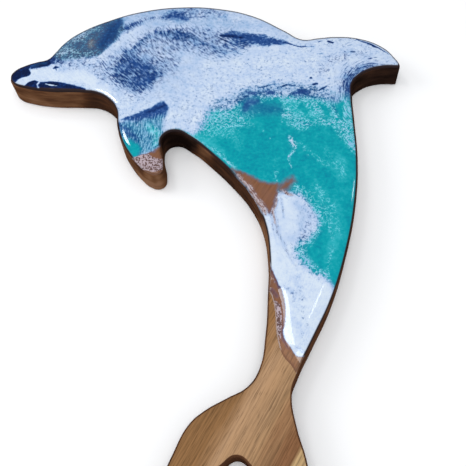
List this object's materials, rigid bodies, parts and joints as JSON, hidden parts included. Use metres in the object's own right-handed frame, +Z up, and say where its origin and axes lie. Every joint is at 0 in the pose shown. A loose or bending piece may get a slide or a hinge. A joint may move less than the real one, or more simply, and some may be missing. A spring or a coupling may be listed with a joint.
{
  "type": "dolphin-shaped wood and resin board",
  "caption": "Leaping dolphin sawn from a flat hardwood board, its body coated with poured ocean-pattern resin and its tail left as bare wood.",
  "frame": {"origin": "under the middle of the board's outline, on the surface that it lies on", "axes": "+X across the board towards the tip of the dorsal fin, +Y from the tail flukes towards the back, +Z up out of the resin face"},
  "size_m": [0.3108, 0.4048, 0.0203],
  "materials": {
    "wood": "oiled",
    "resin": "high gloss pour"
  },
  "bodies": {
    "root": {"wood_board": "wood", "resin_coat": "resin"}
  },
  "joints": []
}
